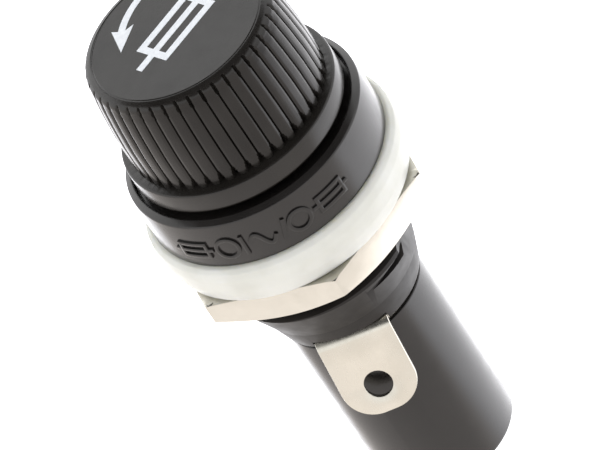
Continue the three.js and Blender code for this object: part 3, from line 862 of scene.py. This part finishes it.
# ---------------------------------------------------------------- terminals and contacts

STRIP = 0.42                    # thickness of the strip
STRIP_HALF = 3.0                # half its width
STRIP_EDGE = 0.07               # how much its edges are rounded
TAB_CORNER = 2.5
TAB_HOLE = 1.1
TAB_HOLE_FROM_END = 2.42
SIDE_START = 4                  # the radius that the side tab starts at, inside its ring
SIDE_BEND = 73                  # degrees that the side tab is bent down by
SIDE_OFFSET = 5.975             # from the axis to the outside of a bend of 90 degrees
SIDE_BEND_RADIUS = 1.3          # outside of the bend
SIDE_LENGTH = 6.45              # from the end of the bend
SIDE_RING = (5.02, 5.5)         # inside and outside radius of the ring between the mouldings
END_OFFSET = 3.5
END_BEND_RADIUS = 0.77
END_LENGTH = 9.15
CLAMPED = 0.02                  # gap over a terminal where a moulding clamps it


def bent_tab(name, start, bend_at, top_z, bend, bend_radius, length):
    """A strip that leaves the axis level, bends down by some degrees, and ends in a round tab."""
    level = bend_at - bend_radius - start
    curve = bend_radius * math.radians(bend)
    end = level + curve + length
    rows = [level * k / 3 for k in range(4)] + [level + curve * k / 12 for k in range(1, 13)]
    left = [(-STRIP_HALF, s) for s in rows]
    right = [(STRIP_HALF, s) for s in reversed(rows)]
    corner = []
    for middle, first in ((-STRIP_HALF + TAB_CORNER, 180), (STRIP_HALF - TAB_CORNER, 90)):
        for k in range(25):
            a = math.radians(first - 90 * k / 24)
            corner.append((middle + TAB_CORNER * math.cos(a),
                           end - TAB_CORNER + TAB_CORNER * math.sin(a)))
    outline = left + corner + right
    hole = [(x, end - TAB_HOLE_FROM_END + y) for x, y in circle(TAB_HOLE, 48)]
    last = len(outline) - 1
    across = [(k, last - k) for k in range(1, len(rows))]
    verts, faces = flat_pieces([outline], [hole], -STRIP, 0, across)
    plate = make_object(name, [v * MM for v in verts], faces)
    bevel(plate, STRIP_EDGE, 40)
    centre = Vector((bend_at - bend_radius, top_z - bend_radius))
    for vertex in plate.data.vertices:
        x, run, depth = vertex.co.x / MM, vertex.co.y / MM, vertex.co.z / MM
        turn = min(max(run - level, 0.0), curve) / bend_radius
        out = Vector((math.sin(turn), math.cos(turn)))
        onward = Vector((math.cos(turn), -math.sin(turn)))
        extra = min(run - level, 0.0) + max(run - level - curve, 0.0)
        place = centre + out * (bend_radius + depth) + onward * extra
        vertex.co = Vector((x, -place.x, place.y)) * MM
    return remade(plate)


def remade(piece):
    """The same mesh, with its normals and sharp edges worked out again."""
    mesh, name = piece.data, piece.name
    bpy.data.objects.remove(piece)
    return finish_mesh(name, mesh)


def spun(piece, azimuth):
    """Turns a piece's mesh about the holder's axis."""
    piece.data.transform(Matrix.Rotation(math.radians(azimuth), 4, "Z"))
    return piece


def side_terminal():
    inner, outer = SIDE_RING
    top_z = NECK_END - CLAMPED
    ring = lathe("ring", [(inner, top_z - STRIP), (outer, top_z - STRIP), (outer, top_z),
                          (inner, top_z)])
    tab = bent_tab("tab", SIDE_START, SIDE_OFFSET, SIDE_TOP, SIDE_BEND, SIDE_BEND_RADIUS,
                   SIDE_LENGTH)
    spun(tab, TAB_AZIMUTH)
    room = lathe("room", [(0, NECK_END - 1), (inner, NECK_END - 1), (inner, SIDE_TOP + 1),
                          (0, SIDE_TOP + 1)])
    wall = ring_slice("wall", inner, outer, TAB_AZIMUTH - 30, TAB_AZIMUTH + 30, top_z - 0.1,
                      SIDE_TOP - STRIP / 2)
    dress(add(cut(tab, room), wall, ring), NICKEL_STRIP, "holder", "nickel_strip",
          "side_terminal")


def end_terminal():
    top_z = BARREL_END - CLAMPED
    leg = bent_tab("leg", 0, END_OFFSET, top_z, 90, END_BEND_RADIUS, END_LENGTH)
    pad = lathe("pad", [(0, top_z - STRIP), (STRIP_HALF, top_z - STRIP, STRIP_EDGE),
                        (STRIP_HALF, top_z, STRIP_EDGE), (0, top_z)])
    hole = lathe("hole", [(0, top_z - 1), (RIVET_HOLE, top_z - 1), (RIVET_HOLE, top_z + 1),
                          (0, top_z + 1)], 48)
    lug = spun(cut(add(leg, pad), hole), TAB_AZIMUTH)
    dress(lug, NICKEL_STRIP, "holder", "nickel_strip", "end_terminal")


def contacts():
    sleeve = lathe("sleeve", [
        (4.55, -18.4, 0.08), (4.95, -18.4, 0.08), (4.95, -9.4, 1.2), (4.32, -6.1, 1.2),
        (4.62, -4.9, 0.12), (4.32, -4.75, 0.12), (3.92, -6.1, 0.8), (4.55, -9.6, 1.2)], SMALL_ROUND)
    cut(sleeve, *radial_slots(6, 0.6, 6, -10.2, -4))
    dress(sleeve, BRASS, "holder", "brass_contact", "contact_sleeve")
    floor = bottom("end_contact_cup")
    cup = lathe("cup", [
        (RIVET_HOLE, floor), (3.6, floor, 0.3), (3.6, floor + 2.6, 0.1), (3.3, floor + 2.6, 0.1),
        (3.3, floor + 0.5, 0.2), (RIVET_HOLE, floor + 0.5)], SMALL_ROUND)
    dress(cup, BRASS, "holder", "brass_contact", "end_contact_cup")
    inner, outer = -27.96, -31.76       # the faces that the rivet's two heads lie on
    rivet = lathe("rivet", [
        (0, outer - 0.6), (1.0, outer - 0.5, 0.25), (1.6, outer, 0.1), (0.98, outer), (0.98, inner),
        (1.7, inner, 0.1), (1.3, inner + 0.34, 0.2), (0, inner + 0.4)], SMALL_ROUND)
    dress(rivet, BRASS, "holder", "brass_contact", "end_rivet")


# ---------------------------------------------------------------- fuse, carrier, pin and spring

FUSE_REAR = bottom("fuse_cap_rear")
FUSE_FRONT = top("fuse_cap_front")


def flipped(profile, end):
    """The same profile turned end for end, growing down from end."""
    return [(p[0], end - p[1], *p[2:]) for p in reversed(profile)]


def raised(profile, start):
    """The same profile, growing up from start."""
    return [(p[0], start + p[1], *p[2:]) for p in profile]


def fuse():
    glass = lathe("glass", [
        (2.55, FUSE_REAR + 0.35, 0.1), (3.0, FUSE_REAR + 0.35, 0.1),
        (3.0, FUSE_FRONT - 0.35, 0.1), (2.55, FUSE_FRONT - 0.35, 0.1)], SMALL_ROUND)
    dress(glass, GLASS, "fuse_carrier", "fuse_glass", "fuse_glass")
    shell = [(0, 0), (3.15, 0, 0.4), (3.15, 6, 0.04), (3.02, 6, 0.04), (3.02, 0.3), (0, 0.3)]
    bead = [(0, 0.32), (1.3, 0.32), (1.0, 1.0, 0.4), (0.35, 1.3, 0.2), (0, 1.3)]
    for end, place, at in (("rear", raised, FUSE_REAR), ("front", flipped, FUSE_FRONT)):
        dress(lathe("shell_" + end, place(shell, at), SMALL_ROUND), BRIGHT_NICKEL,
              "fuse_carrier", "bright_nickel", "fuse_cap_" + end)
        dress(lathe("bead_" + end, place(bead, at), 48), SOLDER, "fuse_carrier", "solder",
              "solder_bead_" + end)
    wire_low, wire_high = FUSE_REAR + 1.32, FUSE_FRONT - 1.32
    wire = lathe("wire", [(0, wire_low), (0.16, wire_low), (0.16, wire_high), (0, wire_high)], 24)
    dress(wire, SOLDER, "fuse_carrier", "solder", "fuse_wire")


def carrier_tube():
    tube = lathe("carrier", [
        (3.32, -11.5, 0.08), (3.62, -11.5, 0.08), (3.7, -11, 0.3), (3.7, 4.8, 0.4),
        (1.1, 4.8, 0.1), (1.1, 4.3, 0.1), (2.3, 4.3), (2.3, 2.55), (3.32, 2.55, 0.1)], SMALL_ROUND)
    cut(tube, *radial_slots(4, 1.0, 5, -12.5, -4.5, 45))
    dress(tube, BRIGHT_NICKEL, "fuse_carrier", "bright_nickel", "carrier_tube")


def guide():
    pin = lathe("pin", [
        (0, 3.65), (0.9, 3.65, 0.15), (0.9, 12.85, 0.1), (2.3, 12.85, 0.08), (2.3, 13.35, 0.15),
        (0, 13.35)], SMALL_ROUND)
    dress(pin, BRASS, "cap_guide", "brass_contact", "guide_pin")
    ring = lathe("ring", [
        (0.95, 3.7, 0.08), (1.75, 3.7, 0.08), (1.75, 4.2, 0.08), (0.95, 4.2, 0.08)], SMALL_ROUND)
    dress(ring, BRASS, "cap_guide", "brass_contact", "pin_retainer")


SPRING_RADIUS = 3.1
SPRING_WIRE = 0.35
SPRING_COILS = 5
CLOSED_TURNS = 0.9              # turns at each end that lie against the next
CLOSED_PITCH = 0.72


def cap_spring():
    low, high = bottom("cap_spring") + SPRING_WIRE, top("cap_spring") - SPRING_WIRE
    middle = (high - low - 2 * CLOSED_TURNS * CLOSED_PITCH) / (SPRING_COILS - 2 * CLOSED_TURNS)
    steps = SPRING_COILS * 48

    def height(turns):
        """Height after some turns: close coils at both ends and open ones between."""
        closed = min(turns, CLOSED_TURNS) + max(0.0, turns - (SPRING_COILS - CLOSED_TURNS))
        return low + closed * CLOSED_PITCH + (turns - closed) * middle

    path = []
    for i in range(steps + 1):
        turns = SPRING_COILS * i / steps
        azimuth = 90 + 360 * turns
        path.append((azimuth_point(SPRING_RADIUS, azimuth, height(turns)),
                     azimuth_point(1, azimuth, 0), UP_MM))
    spring = sweep("spring", path, circle(SPRING_WIRE, 14))
    dress(spring, SPRING_STEEL, "fuse_carrier", "spring_steel", "cap_spring")
    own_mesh(spring)


# ---------------------------------------------------------------- washer and nut

NUT_APOTHEM = 9.4
NUT_CORNER_AZIMUTH = -3
NUT_CHAMFER = 1.05              # height of the chamfer on the lower corners
NUT_BORE = 7.25
NUT_EDGE = 0.06
NUT_TOP_BREAK = (0.6, 0.2)      # width and height of the upper corners' small chamfer
RIDGE_SECTION = ((-0.25, -0.737), (1.03, -0.245), (1.03, 0.245), (-0.25, 0.737))
RIDGE_TURNS = 5


def nylon_washer():
    low = bottom("nylon_washer")
    washer = lathe("washer", [
        (8.2, -0.02, 0.15), (10.05, -0.02, 0.25), (10.35, -0.35, 0.35), (10.45, -1.1, 1.2),
        (10.35, -2.4, 1.5), (10.1, -3.4, 0.6), (9.75, low, 0.25), (8.2, low, 0.15)])
    dress(washer, NYLON, "washer", "milky_nylon", "nylon_washer")


def hex_nut():
    low, high = bottom("hex_nut"), top("hex_nut")
    corner = NUT_APOTHEM / math.cos(math.pi / 6)
    nut = lathe("nut", [(0, low), (corner, low), (corner, high), (0, high)], 6)
    spun(nut, NUT_CORNER_AZIMUTH)
    wide, seat = NUT_APOTHEM + 1.8, NUT_APOTHEM - 0.03
    break_width, break_height = NUT_TOP_BREAK
    envelope = lathe("envelope", [
        (0, low), (seat, low), (wide, low + NUT_CHAMFER), (wide, high - break_height),
        (wide - break_width, high), (0, high)])
    combine(nut, envelope, "INTERSECT")
    bevel(nut, NUT_EDGE, 20)
    bore = lathe("bore", [(0, low - 1), (NUT_BORE, low - 1), (NUT_BORE, high + 1), (0, high + 1)])
    ridge = sweep("ridge", thread_path(0, GROOVE_Z + THREAD_PITCH / 2, RIDGE_TURNS),
                  RIDGE_SECTION)
    cut(nut, bore, ridge)
    dress(nut, BRIGHT_NICKEL, "nut", "bright_nickel", "hex_nut")


# ---------------------------------------------------------------- scene: light, floor and camera

CAMERA_AIM = Vector((-0.41, 3.99, -9.58)) * MM
CAMERA_DISTANCE = 602.6 * MM
CAMERA_ELEVATION = 38.8         # degrees above the horizon, looking along +Y
CAMERA_ROLL = 34.03             # degrees that the holder's axis leans in the picture
CAMERA_LENS = 480               # a long lens, so the picture is nearly without perspective
CAMERA_NEAR, CAMERA_FAR = 0.01, 10


def add_camera():
    tilt = math.radians(CAMERA_ELEVATION)
    back = Vector((0, -math.cos(tilt), math.sin(tilt)))
    level = Matrix.Rotation(math.radians(90 - CAMERA_ELEVATION), 4, "X")
    camera = add_object("camera", bpy.data.cameras.new("camera"))
    camera.data.lens = CAMERA_LENS
    camera.data.clip_start = CAMERA_NEAR
    camera.data.clip_end = CAMERA_FAR
    roll = Matrix.Rotation(math.radians(-CAMERA_ROLL), 4, "Z")
    camera.matrix_world = Matrix.Translation(CAMERA_AIM + back * CAMERA_DISTANCE) @ level @ roll
    bpy.context.scene.camera = camera


# brightness of the white surroundings, where 1 is pure white in the picture
FRONT_LIGHT = 1.3
LEFT_LIGHT = 1.4
RIGHT_LIGHT = 2.85
BACK_LIGHT = 1.8
CEILING_LIGHT = 0.1
WARM_WHITE = (1, 0.94, 0.90, 1)
COOL_WHITE = (0.98, 0.975, 1, 1)
FLOOR_HALF = 6                  # half the floor's side, in metres
FLOOR_DROP = 0.002              # from the holder's lowest point down to the floor
RIGHT_WAY = math.radians(50)    # the way in which the floor gets brighter, round from +X
# where the floor's light changes, in metres from the axis
RIGHT_EDGE = (-0.009, 0.011)
LEFT_EDGE = (0.008, 0.03)
TINT_EDGE = (-0.004, 0.006)
FADE_EDGE = (0.09, 0.17)
# where the walls and the ceiling start, as heights or ways in the surroundings' unit sphere
BACK_EDGE = (0.35, 0.7)
CEILING_EDGE = (0.66, 0.74)
FRONT_CEILING_EDGE = (0.56, 0.78)
FRONT_CEILING_WAY = (0, -0.35, 1)
LAMP_STRENGTH = 1.5
LAMP_SPREAD = math.radians(50)
LAMP_TURN = (math.radians(32), 0, math.radians(-20))


def add_floor():
    """A glowing white floor whose light is painted: brighter and cooler to the right, a little
    brighter to the left, the side brightening fading away from the axis.
    """
    mesh = bpy.data.meshes.new("floor")
    level = CAD_LOW.z - FLOOR_DROP
    mesh.from_pydata([(x * FLOOR_HALF, y * FLOOR_HALF, level) for x, y in (
        (-1, -1), (1, -1), (1, 1), (-1, 1))], [], [(0, 1, 2, 3)])
    floor = add_object("floor", mesh)
    # the floor is black and only glows: its brightness and tint are painted light, standing in for
    # lamplight on a white floor
    material, tree, shader = new_material("floor", (0, 0, 0), 1.0)
    where = tree.nodes.new("ShaderNodeNewGeometry").outputs["Position"]
    beyond = along(tree, where, (math.cos(RIGHT_WAY), math.sin(RIGHT_WAY), 0))
    leftwards = along(tree, where, (-1, 0, 0))
    right = smooth_step(tree, beyond, *RIGHT_EDGE, 0, RIGHT_LIGHT - FRONT_LIGHT)
    left = smooth_step(tree, leftwards, *LEFT_EDGE, 0, LEFT_LIGHT - FRONT_LIGHT)
    distance = tree.nodes.new("ShaderNodeVectorMath")
    distance.operation = "LENGTH"
    tree.links.new(where, distance.inputs[0])
    near = smooth_step(tree, distance.outputs["Value"], *FADE_EDGE, 1, 0)
    sides = calculate(tree, "MULTIPLY", calculate(tree, "ADD", right, left), near)
    total = calculate(tree, "ADD", sides, FRONT_LIGHT)
    tint = tree.nodes.new("ShaderNodeMix")
    tint.data_type = "RGBA"
    tint.inputs["A"].default_value = WARM_WHITE
    tint.inputs["B"].default_value = COOL_WHITE
    tree.links.new(smooth_step(tree, beyond, *TINT_EDGE, 0, 1), tint.inputs["Factor"])
    tree.links.new(tint.outputs["Result"], shader.inputs["Emission Color"])
    shader.inputs["Specular IOR Level"].default_value = 0
    tree.links.new(total, shader.inputs["Emission Strength"])
    floor.data.materials.append(material)


def add_light():
    """White walls all round, a brighter one at the back, a dark ceiling and a soft lamp."""
    world = bpy.data.worlds.new("studio")
    bpy.context.scene.world = world
    world.use_nodes = True
    tree = world.node_tree
    way = tree.nodes.new("ShaderNodeTexCoord").outputs["Generated"]
    back = along(tree, way, (0, 1, 0))
    back = smooth_step(tree, back, *BACK_EDGE, 0, BACK_LIGHT - FRONT_LIGHT)
    walls = calculate(tree, "ADD", back, FRONT_LIGHT)
    under_ceiling = smooth_step(tree, along(tree, way, (0, 0, 1)), *CEILING_EDGE, 1, 0)
    steep = along(tree, way, FRONT_CEILING_WAY)
    under_front = smooth_step(tree, steep, *FRONT_CEILING_EDGE, 1, 0)
    under = calculate(tree, "MULTIPLY", under_ceiling, under_front)
    lit = calculate(tree, "ADD", calculate(tree, "MULTIPLY", walls, under), CEILING_LIGHT)
    background = tree.nodes["Background"]
    background.inputs["Color"].default_value = (1, 1, 1, 1)
    tree.links.new(lit, background.inputs["Strength"])
    lamp = add_object("soft_lamp", bpy.data.lights.new("soft lamp", "SUN"))
    lamp.data.energy = LAMP_STRENGTH
    lamp.data.angle = LAMP_SPREAD
    lamp.rotation_euler = LAMP_TURN
    lamp.visible_glossy = False
    bpy.context.scene.view_settings.view_transform = "Standard"


add_camera()
add_floor()
add_light()
cap_knob()
cap_print()
neck_body()
flange_marks()
rear_barrel()
side_terminal()
end_terminal()
contacts()
fuse()
carrier_tube()
guide()
cap_spring()
nylon_washer()
hex_nut()
